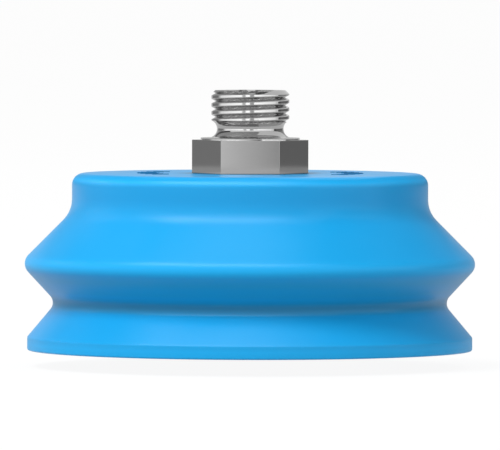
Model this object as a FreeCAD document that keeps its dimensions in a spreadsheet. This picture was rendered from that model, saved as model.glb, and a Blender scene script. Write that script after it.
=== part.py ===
"""Bellows suction cup with one and a half folds and a male pipe-thread nipple.

A soft moulded cup hangs under a turned hexagon nipple. The moulding is drawn once, as
the mould maker draws it, and then divided at its fold lines into the sections that move
against each other. The nipple's shank passes through the roof of the cup, and a nut, a
lock washer and a support plate clamp the roof from inside. A sieve in the foot of the
shank, held by a snap ring, keeps grit out of the vacuum line.

Millimetres. The origin is the centre of the lip's contact plane, and +Z is the axis of
the cup, from the lip to the thread.
"""

import FreeCAD
import Part
import Sketcher

import math
import os
from collections import namedtuple

SHEET = "Sizes"
PARTS_FOLDER = "parts"
FULL_TURN = 360

# The driving dimensions: alias, value in millimetres (degrees for an angle), meaning.
DRIVING = (
    ("cup_height", 29.8, "lip plane to the flat top of the head"),
    ("rim_height", 6.4, "flat top of the head down to the upper flank"),
    ("rim_round", 1.5, "round of the head's top edge"),
    ("shoulder_round", 3.2, "hollow round at the shoulder"),
    ("crest_radius", 38.7, "sharp corner of the fold's crest"),
    ("crest_height", 14.75, "level of the crest"),
    ("crest_round", 2.3, "round of the crest"),
    ("waist_radius", 32.7, "sharp corner of the waist between fold and lip"),
    ("waist_height", 8.1, "level of the waist"),
    ("waist_round", 1.3, "hollow round of the waist"),
    ("lip_radius", 37.5, "outside of the sealing lip"),
    ("lip_edge", 2.3, "height of the lip's upright edge"),
    ("lip_land", 1.2, "width of the flat land that meets the workpiece"),
    ("fold_wall", 3.3, "wall of the folds, measured square to the axis"),
    ("roof_thickness", 4.0, "roof of the cup at its edge"),
    ("roof_border", 2.35, "roof between the plate's seat and the wall"),
    ("rim_wall", 5.5, "wall of the head at the roof"),
    ("roof_inner_round", 2.0, "round inside, where roof meets wall"),
    ("crest_inner_round", 1.4, "round inside the crest"),
    ("waist_inner_round", 1.5, "round inside the waist"),
    ("fold_drop", 2.0, "shoulder to the start of the fold"),
    ("crest_half_band", 2.0, "half the height of the crest section"),
    ("waist_half_band", 1.1, "half the height of the waist section"),
    ("lip_collar", 0.4, "lip section above the upright edge"),
    ("hex_across_flats", 17.0, "spanner size of the nipple"),
    ("hex_height", 5.65, "height of the hexagon"),
    ("seat_radius", 8.35, "raised washer face on the hexagon"),
    ("seat_height", 0.35, "height of the washer face"),
    ("thread_radius", 6.5785, "major radius of the quarter-inch pipe thread"),
    ("thread_length", 8.0, "washer face to the end of the nipple"),
    ("thread_chamfer", 0.7, "lead-in chamfer of the thread"),
    ("relief_radius", 5.6, "bottom of the relief under the thread"),
    ("relief_length", 1.8, "washer face to the thread run-out"),
    ("neck_round", 1.5, "hollow round between relief and washer face"),
    ("bore_radius", 3.5, "vacuum passage"),
    ("bore_chamfer", 0.5, "chamfer at the mouth of the vacuum passage"),
    ("shank_radius", 6.0, "shank that passes through the roof"),
    ("shank_clearance", 0.1, "roof, plate and washer to shank"),
    ("shank_overhang", 0.8, "shank beyond the nut"),
    ("plate_radius", 22.0, "support plate under the roof"),
    ("plate_thickness", 2.0, "support plate"),
    ("plate_edge_round", 0.5, "broken edge of the support plate"),
    ("plate_recess", 0.8, "depth of the plate's seat in the roof"),
    ("plate_clearance", 0.15, "plate to the wall of its seat"),
    ("washer_radius", 9.4, "lock washer"),
    ("washer_thickness", 1.6, "lock washer"),
    ("washer_gap", 1.4, "split of the lock washer"),
    ("nut_across_flats", 17.0, "spanner size of the nut"),
    ("nut_height", 5.0, "height of the nut"),
    ("nut_chamfer", 0.9, "fall of the chamfer at the nut's corners"),
    ("nut_clearance", 0.05, "nut to shank"),
    ("pocket_radius", 4.6, "filter pocket in the foot of the shank"),
    ("pocket_depth", 3.2, "filter pocket"),
    ("screen_thickness", 0.5, "filter screen"),
    ("screen_clearance", 0.1, "filter screen to its pocket"),
    ("screen_hole_radius", 0.5, "holes of the filter screen"),
    ("screen_inner_pitch", 1.5, "radius of the inner ring of holes"),
    ("screen_outer_pitch", 2.9, "radius of the outer ring of holes"),
    ("clip_thickness", 0.8, "snap ring"),
    ("clip_width", 1.1, "radial width of the snap ring"),
    ("clip_groove_depth", 0.35, "groove of the snap ring"),
    ("clip_clearance", 0.05, "snap ring to its groove"),
    ("clip_sweep", 310.0, "arc of the snap ring, in degrees"),
)
INNER_RING_HOLES = 6
OUTER_RING_HOLES = 12


class Size:
    """A length with its present value and the sheet expression that drives it."""

    def __init__(self, value, text):
        self.value = value
        self.text = text

    def _joined(self, other, sign, value):
        return Size(value, f"({self.text} {sign} {other.text})")

    def __add__(self, other):
        return self._joined(other, "+", self.value + other.value)

    def __sub__(self, other):
        return self._joined(other, "-", self.value - other.value)

    def __neg__(self):
        return Size(-self.value, f"(-{self.text})")

    def times(self, factor):
        return Size(self.value * factor, f"({self.text} * {factor})")


ZERO = Size(0.0, "0")
SIZE = {alias: Size(value, f"{SHEET}.{alias}") for alias, value, _ in DRIVING}


class Levels:
    """Heights above the lip plane where pieces seat and where the moulding is divided."""

    head_split = SIZE["cup_height"] - SIZE["roof_thickness"]
    shoulder = SIZE["cup_height"] - SIZE["rim_height"]
    fold_start = shoulder - SIZE["fold_drop"]
    crest_top = SIZE["crest_height"] + SIZE["crest_half_band"]
    crest_bottom = SIZE["crest_height"] - SIZE["crest_half_band"]
    waist_top = SIZE["waist_height"] + SIZE["waist_half_band"]
    waist_bottom = SIZE["waist_height"] - SIZE["waist_half_band"]
    lip_top = SIZE["lip_edge"] + SIZE["lip_collar"]

    hex_top = SIZE["cup_height"] + SIZE["hex_height"]
    seat = hex_top + SIZE["seat_height"]
    relief_top = seat + SIZE["relief_length"]
    thread_start = relief_top + SIZE["thread_radius"] - SIZE["relief_radius"]
    nipple_top = seat + SIZE["thread_length"]

    plate_top = head_split + SIZE["plate_recess"]
    plate_bottom = plate_top - SIZE["plate_thickness"]
    washer_bottom = plate_bottom - SIZE["washer_thickness"]
    nut_bottom = washer_bottom - SIZE["nut_height"]
    shank_end = nut_bottom - SIZE["shank_overhang"]

    pocket_top = shank_end + SIZE["pocket_depth"]
    screen_bottom = pocket_top - SIZE["screen_thickness"]
    clip_bottom = screen_bottom - SIZE["clip_thickness"]
    clip_groove_bottom = clip_bottom - SIZE["clip_clearance"]


class Radii:
    """Radii that follow from the pieces that fit into one another."""

    shank_hole = SIZE["shank_radius"] + SIZE["shank_clearance"]
    plate_seat = SIZE["plate_radius"] + SIZE["plate_clearance"]
    roof_edge = plate_seat + SIZE["roof_border"]
    rim = roof_edge + SIZE["rim_wall"]
    crest_inside = SIZE["crest_radius"] - SIZE["fold_wall"]
    waist_inside = SIZE["waist_radius"] - SIZE["fold_wall"]
    lip_inside = SIZE["lip_radius"] - SIZE["lip_land"]
    nut_hole = SIZE["shank_radius"] + SIZE["nut_clearance"]
    screen = SIZE["pocket_radius"] - SIZE["screen_clearance"]
    clip_groove = SIZE["pocket_radius"] + SIZE["clip_groove_depth"]
    clip = clip_groove - SIZE["clip_clearance"]
    clip_inside = clip - SIZE["clip_width"]


# A corner of an outline: its distance across and along the axis, and its rounding, if any.
Corner = namedtuple("Corner", "across along rounding", defaults=(None,))


def fill_sheet(doc):
    """Writes the driving dimensions to the document's sheet, one aliased cell each."""
    sheet = doc.addObject("Spreadsheet::Sheet", SHEET)
    for row, (alias, value, meaning) in enumerate(DRIVING, start=1):
        sheet.set(f"A{row}", alias)
        sheet.set(f"B{row}", str(value))
        sheet.setAlias(f"B{row}", alias)
        sheet.set(f"C{row}", meaning)
    doc.recompute()


def new_body(doc, label):
    body = doc.addObject("PartDesign::Body", label)
    body.Label = label
    return body


def new_sketch(body, name, plane, level=None):
    """A sketch on one of the body's own origin planes, raised to a level if one is given."""
    sketch = body.newObject("Sketcher::SketchObject", name)
    support = next(f for f in body.Origin.OriginFeatures if f.Role == plane)
    sketch.AttachmentSupport = [(support, "")]
    sketch.MapMode = "FlatFace"
    if level is not None:
        sketch.setExpression("AttachmentOffset.Base.z", level.text)
    return sketch


def bind_distance(sketch, kind, point, size):
    """Holds a point's distance from the sketch origin to a size, on either side of it."""
    geometry, end = point
    if size.value >= 0:
        ends = (-1, 1, geometry, end)
    else:
        ends = (geometry, end, -1, 1)
        size = -size
    index = sketch.addConstraint(Sketcher.Constraint(kind, *ends, size.value))
    sketch.setExpression(f"Constraints[{index}]", size.text)


def pin_corner(sketch, point, corner):
    """Holds a point of the sketch to a corner's two sizes."""
    for kind, size, axis in (("DistanceX", corner.across, -2), ("DistanceY", corner.along, -1)):
        if size is ZERO:
            sketch.addConstraint(Sketcher.Constraint("PointOnObject", *point, axis))
        else:
            bind_distance(sketch, kind, point, size)


def bind_radius(sketch, geometry, size):
    """Holds the radius of an arc or circle to a size."""
    index = sketch.addConstraint(Sketcher.Constraint("Radius", geometry, size.value))
    sketch.setExpression(f"Constraints[{index}]", size.text)


def rounding_arc(before, corner, after, radius):
    """The arc that rounds a corner between two straight runs.

    Returns the points where the arc meets the runs, the arc itself, drawn anticlockwise,
    and whether it starts on the run that arrives at the corner.
    """
    back = (before - corner).normalize()
    ahead = (after - corner).normalize()
    half_angle = back.getAngle(ahead) / 2
    arrival = corner + back * (radius / math.tan(half_angle))
    departure = corner + ahead * (radius / math.tan(half_angle))
    centre = corner + (back + ahead).normalize() * (radius / math.sin(half_angle))
    turns_left = ahead.cross(back).z > 0
    ends = (arrival, departure) if turns_left else (departure, arrival)
    first, last = (math.atan2(p.y - centre.y, p.x - centre.x) for p in ends)
    circle = Part.Circle(centre, FreeCAD.Vector(0, 0, 1), radius)
    return arrival, departure, Part.ArcOfCircle(circle, first, last), turns_left


def draw_outline(sketch, corners):
    """Draws a closed outline of straight runs and rounded corners, each bound to its sizes."""
    corners = [Corner(*corner) for corner in corners]
    points = [FreeCAD.Vector(c.across.value, c.along.value, 0) for c in corners]
    count = len(points)
    arrivals, departures = list(points), list(points)
    arcs = {}
    for i, corner in enumerate(corners):
        if corner.rounding is not None:
            neighbours = points[i - 1], points[i], points[(i + 1) % count]
            arrivals[i], departures[i], *arcs[i] = rounding_arc(*neighbours, corner.rounding.value)
    runs = [
        sketch.addGeometry(Part.LineSegment(departures[i], arrivals[(i + 1) % count]))
        for i in range(count)
    ]
    for i, corner in enumerate(corners):
        before, after = runs[i - 1], runs[i]
        if i not in arcs:
            sketch.addConstraint(Sketcher.Constraint("Coincident", before, 2, after, 1))
            pin_corner(sketch, (after, 1), corner)
            continue
        shape, starts_on_arrival = arcs[i]
        arc = sketch.addGeometry(shape)
        first, last = (1, 2) if starts_on_arrival else (2, 1)
        sketch.addConstraint(Sketcher.Constraint("Tangent", before, 2, arc, first))
        sketch.addConstraint(Sketcher.Constraint("Tangent", arc, last, after, 1))
        apex = sketch.addGeometry(Part.Point(points[i]), True)
        sketch.addConstraint(Sketcher.Constraint("PointOnObject", apex, 1, before))
        sketch.addConstraint(Sketcher.Constraint("PointOnObject", apex, 1, after))
        pin_corner(sketch, (apex, 1), corner)
        bind_radius(sketch, arc, corner.rounding)


def turn(body, name, corners, cut=False, sweep=None):
    """Revolves an outline of (radius, height) corners about the axis, to add or to cut."""
    sketch = new_sketch(body, f"{name}_outline", "XZ_Plane")
    draw_outline(sketch, corners)
    kind = "PartDesign::Groove" if cut else "PartDesign::Revolution"
    feature = body.newObject(kind, name)
    feature.Profile = sketch
    feature.ReferenceAxis = (sketch, ["V_Axis"])
    feature.Angle = FULL_TURN
    if sweep is not None:
        feature.Midplane = True
        feature.setExpression("Angle", sweep.text)
    body.Document.recompute()
    return feature


def add_hexagon(body, name, across_flats, bottom, height):
    """A hexagonal prism on the axis, with two of its corners on the X axis."""
    prism = body.newObject("PartDesign::AdditivePrism", name)
    prism.Polygon = 6
    prism.setExpression("Circumradius", f"{across_flats.text} / sqrt(3)")
    prism.setExpression("Height", height.text)
    prism.setExpression("Placement.Base.z", bottom.text)
    body.Document.recompute()
    return prism


def make_moulding(doc):
    """The whole soft cup as it leaves the mould, with the seat of the support plate."""
    outside = [
        (Radii.shank_hole, SIZE["cup_height"]),
        (Radii.rim, SIZE["cup_height"], SIZE["rim_round"]),
        (Radii.rim, Levels.shoulder, SIZE["shoulder_round"]),
        (SIZE["crest_radius"], SIZE["crest_height"], SIZE["crest_round"]),
        (SIZE["waist_radius"], SIZE["waist_height"], SIZE["waist_round"]),
        (SIZE["lip_radius"], SIZE["lip_edge"]),
        (SIZE["lip_radius"], ZERO),
    ]
    inside = [
        (Radii.lip_inside, ZERO),
        (Radii.waist_inside, SIZE["waist_height"], SIZE["waist_inner_round"]),
        (Radii.crest_inside, SIZE["crest_height"], SIZE["crest_inner_round"]),
        (Radii.roof_edge, Levels.head_split, SIZE["roof_inner_round"]),
        (Radii.plate_seat, Levels.head_split),
        (Radii.plate_seat, Levels.plate_top),
        (Radii.shank_hole, Levels.plate_top),
    ]
    body = new_body(doc, "cup_moulding")
    turn(body, "cup_wall", outside + inside)
    return body


def divide_moulding(doc, moulding):
    """Divides the moulding by level planes into its head, fold, waist and lip sections."""
    cuts = (
        ("cup_head", Levels.head_split, SIZE["cup_height"]),
        ("upper_wall", Levels.fold_start, Levels.head_split),
        ("fold_upper_wall", Levels.crest_top, Levels.fold_start),
        ("fold_crest", Levels.crest_bottom, Levels.crest_top),
        ("fold_lower_wall", Levels.waist_top, Levels.crest_bottom),
        ("fold_waist", Levels.waist_bottom, Levels.waist_top),
        ("lip_wall", Levels.lip_top, Levels.waist_bottom),
        ("sealing_lip", ZERO, Levels.lip_top),
    )
    sections = []
    for label, bottom, top in cuts:
        slab = doc.addObject("Part::Cylinder", f"{label}_slab")
        slab.setExpression("Radius", (SIZE["crest_radius"] + Radii.rim).text)
        slab.setExpression("Height", (top - bottom).text)
        slab.setExpression("Placement.Base.z", bottom.text)
        section = doc.addObject("Part::Common", label)
        section.Label = label
        section.Base = moulding
        section.Tool = slab
        sections.append(section)
    doc.recompute()
    return sections


def make_nipple(doc):
    """The turned nipple: thread, relief, hexagon, shank and the stepped vacuum passage."""
    body = new_body(doc, "threaded_nipple")
    across_flats = SIZE["hex_across_flats"]
    add_hexagon(body, "hexagon", across_flats, SIZE["cup_height"], SIZE["hex_height"])
    turned = [
        (ZERO, Levels.shank_end),
        (SIZE["shank_radius"], Levels.shank_end),
        (SIZE["shank_radius"], Levels.hex_top),
        (SIZE["seat_radius"], Levels.hex_top),
        (SIZE["seat_radius"], Levels.seat),
        (SIZE["relief_radius"], Levels.seat, SIZE["neck_round"]),
        (SIZE["relief_radius"], Levels.relief_top),
        (SIZE["thread_radius"], Levels.thread_start),
        (SIZE["thread_radius"], Levels.nipple_top - SIZE["thread_chamfer"]),
        (SIZE["thread_radius"] - SIZE["thread_chamfer"], Levels.nipple_top),
        (ZERO, Levels.nipple_top),
    ]
    turn(body, "turned_shape", turned)
    passage = [
        (ZERO, Levels.nipple_top),
        (SIZE["bore_radius"] + SIZE["bore_chamfer"], Levels.nipple_top),
        (SIZE["bore_radius"], Levels.nipple_top - SIZE["bore_chamfer"]),
        (SIZE["bore_radius"], Levels.pocket_top),
        (SIZE["pocket_radius"], Levels.pocket_top),
        (SIZE["pocket_radius"], Levels.screen_bottom),
        (Radii.clip_groove, Levels.screen_bottom),
        (Radii.clip_groove, Levels.clip_groove_bottom),
        (SIZE["pocket_radius"], Levels.clip_groove_bottom),
        (SIZE["pocket_radius"], Levels.shank_end),
        (ZERO, Levels.shank_end),
    ]
    turn(body, "vacuum_passage", passage, cut=True)
    return body


def make_support_plate(doc):
    """The steel plate that spreads the load of the nipple over the soft roof."""
    body = new_body(doc, "support_plate")
    disc = [
        (Radii.shank_hole, Levels.plate_bottom),
        (SIZE["plate_radius"], Levels.plate_bottom, SIZE["plate_edge_round"]),
        (SIZE["plate_radius"], Levels.plate_top),
        (Radii.shank_hole, Levels.plate_top),
    ]
    turn(body, "disc", disc)
    return body


def make_lock_washer(doc):
    """The split spring washer between nut and plate."""
    body = new_body(doc, "lock_washer")
    ring = [
        (Radii.shank_hole, Levels.washer_bottom),
        (SIZE["washer_radius"], Levels.washer_bottom),
        (SIZE["washer_radius"], Levels.plate_bottom),
        (Radii.shank_hole, Levels.plate_bottom),
    ]
    turn(body, "ring", ring)
    half_gap = SIZE["washer_gap"].times(0.5)
    split = new_sketch(body, "split_outline", "XY_Plane", Levels.washer_bottom)
    beyond = SIZE["washer_radius"] + SIZE["washer_gap"]
    corners = [(ZERO, -half_gap), (beyond, -half_gap), (beyond, half_gap), (ZERO, half_gap)]
    draw_outline(split, corners)
    pocket = body.newObject("PartDesign::Pocket", "split")
    pocket.Profile = split
    pocket.Type = "ThroughAll"
    pocket.Midplane = True
    doc.recompute()
    return body


def make_clamp_nut(doc):
    """The hexagon nut on the foot of the shank, with chamfered corners."""
    body = new_body(doc, "clamp_nut")
    add_hexagon(body, "hexagon", SIZE["nut_across_flats"], Levels.nut_bottom, SIZE["nut_height"])
    hole = [
        (ZERO, Levels.nut_bottom),
        (Radii.nut_hole, Levels.nut_bottom),
        (Radii.nut_hole, Levels.washer_bottom),
        (ZERO, Levels.washer_bottom),
    ]
    turn(body, "hole", hole, cut=True)
    flat = SIZE["nut_across_flats"].times(0.5)
    beyond = SIZE["nut_across_flats"].times(0.6)
    for name, face, depth in (
        ("lower_chamfer", Levels.nut_bottom, SIZE["nut_chamfer"]),
        ("upper_chamfer", Levels.washer_bottom, -SIZE["nut_chamfer"]),
    ):
        turn(body, name, [(flat, face), (beyond, face), (beyond, face + depth)], cut=True)
    return body


def make_filter_screen(doc):
    """The perforated sieve at the inlet of the vacuum passage."""
    body = new_body(doc, "filter_screen")
    disc = [
        (ZERO, Levels.screen_bottom),
        (Radii.screen, Levels.screen_bottom),
        (Radii.screen, Levels.pocket_top),
        (ZERO, Levels.pocket_top),
    ]
    turn(body, "disc", disc)
    axis = next(f for f in body.Origin.OriginFeatures if f.Role == "Z_Axis")
    for name, pitch, count in (
        ("inner_ring", SIZE["screen_inner_pitch"], INNER_RING_HOLES),
        ("outer_ring", SIZE["screen_outer_pitch"], OUTER_RING_HOLES),
    ):
        sketch = new_sketch(body, f"{name}_hole", "XY_Plane", Levels.screen_bottom)
        centre = FreeCAD.Vector(pitch.value, 0, 0)
        upwards = FreeCAD.Vector(0, 0, 1)
        circle = Part.Circle(centre, upwards, SIZE["screen_hole_radius"].value)
        geometry = sketch.addGeometry(circle)
        bind_distance(sketch, "DistanceX", (geometry, 3), pitch)
        sketch.addConstraint(Sketcher.Constraint("PointOnObject", geometry, 3, -1))
        bind_radius(sketch, geometry, SIZE["screen_hole_radius"])
        pocket = body.newObject("PartDesign::Pocket", f"{name}_first")
        pocket.Profile = sketch
        pocket.Type = "ThroughAll"
        pocket.Midplane = True
        doc.recompute()
        ring = body.newObject("PartDesign::PolarPattern", name)
        ring.Originals = [pocket]
        ring.Axis = (axis, [""])
        ring.Angle = FULL_TURN
        ring.Occurrences = count
        body.Tip = ring
        doc.recompute()
    return body


def make_filter_clip(doc):
    """The snap ring that holds the sieve in the foot of the shank."""
    body = new_body(doc, "filter_clip")
    section = [
        (Radii.clip_inside, Levels.clip_bottom),
        (Radii.clip, Levels.clip_bottom),
        (Radii.clip, Levels.screen_bottom),
        (Radii.clip_inside, Levels.screen_bottom),
    ]
    turn(body, "ring", section, sweep=SIZE["clip_sweep"])
    return body


def check(doc, pieces):
    """Stops the build if any object failed or any piece is not one sound closed solid."""
    failed = [o.Name for o in doc.Objects if {"Invalid", "Error"} & set(o.State)]
    if failed:
        raise RuntimeError(f"failed objects: {failed}")
    for piece in pieces:
        shape = piece.Shape
        if shape.isNull() or not shape.isValid() or len(shape.Solids) != 1:
            raise RuntimeError(f"{piece.Label} is not one valid solid")


def export(pieces):
    """Writes each piece to a STEP file named after it."""
    os.makedirs(PARTS_FOLDER, exist_ok=True)
    for piece in pieces:
        solid = piece.Shape.Solids[0]
        solid.exportStep(os.path.join(PARTS_FOLDER, f"{piece.Label}.step"))
        box = solid.BoundBox
        print(f"{piece.Label}: {solid.Volume:.1f} mm3, z {box.ZMin:.2f} to {box.ZMax:.2f}")


def main():
    doc = FreeCAD.newDocument("bellows_suction_cup")
    fill_sheet(doc)
    pieces = divide_moulding(doc, make_moulding(doc))
    pieces += [
        make_nipple(doc),
        make_support_plate(doc),
        make_lock_washer(doc),
        make_clamp_nut(doc),
        make_filter_screen(doc),
        make_filter_clip(doc),
    ]
    doc.recompute()
    check(doc, pieces)
    export(pieces)


main()
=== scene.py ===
"""Looks of a bellows suction cup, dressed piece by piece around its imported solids.

The soft cup is turned from one outline and divided at the levels where its sections move.
The nipple carries a helical pipe thread above a hexagon, and the plate, washer, nut, sieve
and snap ring inside the cup are modelled one by one. Metres, +Z up, with the origin at the
centre of the lip plane.
"""

import logging
import math
from dataclasses import dataclass, field
from enum import Enum
from typing import Any, Callable, Iterable, Iterator, Sequence

import bmesh
import bpy
from mathutils import Matrix, Quaternion, Vector


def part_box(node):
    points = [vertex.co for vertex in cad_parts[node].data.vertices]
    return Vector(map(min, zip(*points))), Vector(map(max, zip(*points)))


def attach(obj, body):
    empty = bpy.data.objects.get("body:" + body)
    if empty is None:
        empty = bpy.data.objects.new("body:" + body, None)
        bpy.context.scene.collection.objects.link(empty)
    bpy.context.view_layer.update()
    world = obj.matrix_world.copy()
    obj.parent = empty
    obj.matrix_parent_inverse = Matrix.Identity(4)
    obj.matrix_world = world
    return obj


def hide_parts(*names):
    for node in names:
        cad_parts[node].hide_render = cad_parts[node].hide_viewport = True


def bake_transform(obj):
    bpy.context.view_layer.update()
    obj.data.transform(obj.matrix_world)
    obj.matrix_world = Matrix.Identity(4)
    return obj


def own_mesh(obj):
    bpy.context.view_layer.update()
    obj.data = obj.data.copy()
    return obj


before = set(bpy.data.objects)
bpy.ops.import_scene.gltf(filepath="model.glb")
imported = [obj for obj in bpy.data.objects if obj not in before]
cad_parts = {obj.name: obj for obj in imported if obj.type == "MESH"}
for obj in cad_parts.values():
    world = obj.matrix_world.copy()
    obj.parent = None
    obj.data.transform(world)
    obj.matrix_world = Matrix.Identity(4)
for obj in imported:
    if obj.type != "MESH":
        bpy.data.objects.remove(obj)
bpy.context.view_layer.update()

LOG = logging.getLogger("bellows_cup")
MM = 0.001
COLUMNS = 192
HEX_SIDES = 6
FULL_TURN = 2 * math.pi
WELD_DISTANCE = 2e-6
SEAM_SLACK = 1e-4
SHARP_ANGLE = math.radians(24)
COARSE_TURN = math.radians(30)
AXIS_UP = (0, 0, 1)
# Mask of painted shade: the waist crease and the ring round the hexagon's foot.
PAINTED_SHADE = "hollow"
# Mask of painted highlight along the crest, the rim and the lip edge; it also hazes the roughness
# there, as wear.
PAINTED_HIGHLIGHT_AND_WEAR = "painted_highlight_and_wear"
# Mask of painted reflection and shade, which makes the underside of the fold greyer and darker.
PAINTED_REFLECTION_AND_SHADE = "painted_reflection_and_shade"
LEVEL = "level"

Colour = tuple[float, float, float, float]
Ring = list[Vector]
FieldValue = Any


class Slot(Enum):
    """Material slots of the record."""

    ELASTOMER = "elastomer"
    NIPPLE = "nipple_metal"
    PLATE = "plate_steel"
    SPRING = "spring_steel"
    SCREEN = "screen_steel"


class Body(Enum):
    """Moving bodies of the frame that visible pieces ride on."""

    HEAD = "head"
    UPPER_FOLD = "upper_fold"
    WAIST = "waist"
    LIP = "lip"


class ToolPath(Enum):
    """How a metal surface was cut, which sets the run of its fine marks."""

    TURNED = "turned"
    DRAWN = "drawn"


def top_of(node: str) -> float:
    """Height of a node's highest point."""
    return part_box(node)[1].z


def bottom_of(node: str) -> float:
    """Height of a node's lowest point."""
    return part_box(node)[0].z


def radius_of(node: str) -> float:
    """Largest reach of a node along X."""
    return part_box(node)[1].x


def flat_of(node: str) -> float:
    """Half the width over the flats of a node whose hexagon has two corners on X."""
    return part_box(node)[1].y


def from_frame(measure: Callable[[str], float], node: str) -> Any:
    """A dataclass field whose value is measured on a node of the frame.

    Args:
        measure: One of the measuring functions above.
        node: Name of the node.

    Returns:
        The field, with the measure as its default.
    """
    return field(default_factory=lambda: measure(node))


class Graph:
    """A node tree under construction, with shorthand for its nodes and links."""

    def __init__(self, tree: bpy.types.NodeTree) -> None:
        """Keeps the tree that nodes are added to."""
        self.tree = tree
        self._entry: bpy.types.Node | None = None

    def feed(self, socket: bpy.types.NodeSocket, value: FieldValue) -> None:
        """Links a field or socket to an input, or sets the input to a constant.

        Args:
            socket: The input socket.
            value: A Field, an output socket or a plain value.
        """
        if isinstance(value, Field):
            value = value.socket
        if isinstance(value, bpy.types.NodeSocket):
            self.tree.links.new(value, socket)
        else:
            socket.default_value = value

    def node(
        self, kind: str, inputs: dict[str | int, FieldValue] | None = None, **settings: Any
    ) -> bpy.types.Node:
        """Adds a node.

        Args:
            kind: Blender's name of the node type.
            inputs: Values of its inputs, by name or place.
            **settings: Properties of the node itself.

        Returns:
            The new node.
        """
        made = self.tree.nodes.new(kind)
        for name, value in settings.items():
            setattr(made, name, value)
        for name, value in (inputs or {}).items():
            self.feed(made.inputs[name], value)
        return made

    def field(
        self, kind: str, output: str | int = 0, inputs: dict | None = None, **settings: Any
    ) -> "Field":
        """Adds a node and returns one of its outputs as a field.

        Args:
            kind: Blender's name of the node type.
            output: Name or place of the output.
            inputs: Values of the node's inputs.
            **settings: Properties of the node itself.

        Returns:
            The output as a field.
        """
        return Field(self, self.node(kind, inputs, **settings).outputs[output])

    def group_input(self, name: str, kind: str = "NodeSocketFloat") -> "Field":
        """Adds a named input to the tree's own interface.

        Args:
            name: The input's name.
            kind: Its socket type.

        Returns:
            The input as a field.
        """
        self.tree.interface.new_socket(name, in_out="INPUT", socket_type=kind)
        if self._entry is None:
            self._entry = self.tree.nodes.new("NodeGroupInput")
        return Field(self, self._entry.outputs[name])

    def group_outputs(self, outputs: dict[str, tuple[str, FieldValue]]) -> None:
        """Adds the tree's outputs.

        Args:
            outputs: Socket type and value of each output, by name.
        """
        for name, (kind, _) in outputs.items():
            self.tree.interface.new_socket(name, in_out="OUTPUT", socket_type=kind)
        leave = self.tree.nodes.new("NodeGroupOutput")
        for name, (_, value) in outputs.items():
            self.feed(leave.inputs[name], value)


@dataclass(frozen=True)
class Field:
    """A number that varies over a node tree's domain; arithmetic on it adds Math nodes."""

    graph: Graph
    socket: bpy.types.NodeSocket

    def math(self, operation: str, *others: FieldValue) -> "Field":
        """Adds a Math node with this field as its first input.

        Args:
            operation: Name of the operation.
            *others: The other inputs.

        Returns:
            The result.
        """
        inputs = dict(enumerate((self, *others)))
        return self.graph.field("ShaderNodeMath", 0, inputs, operation=operation)

    def __add__(self, other: FieldValue) -> "Field":
        """The sum of two fields."""
        return self.math("ADD", other)

    def __sub__(self, other: FieldValue) -> "Field":
        """The difference of two fields."""
        return self.math("SUBTRACT", other)

    def __mul__(self, other: FieldValue) -> "Field":
        """The product of two fields."""
        return self.math("MULTIPLY", other)

    def __truediv__(self, other: FieldValue) -> "Field":
        """The quotient of two fields."""
        return self.math("DIVIDE", other)


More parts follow.
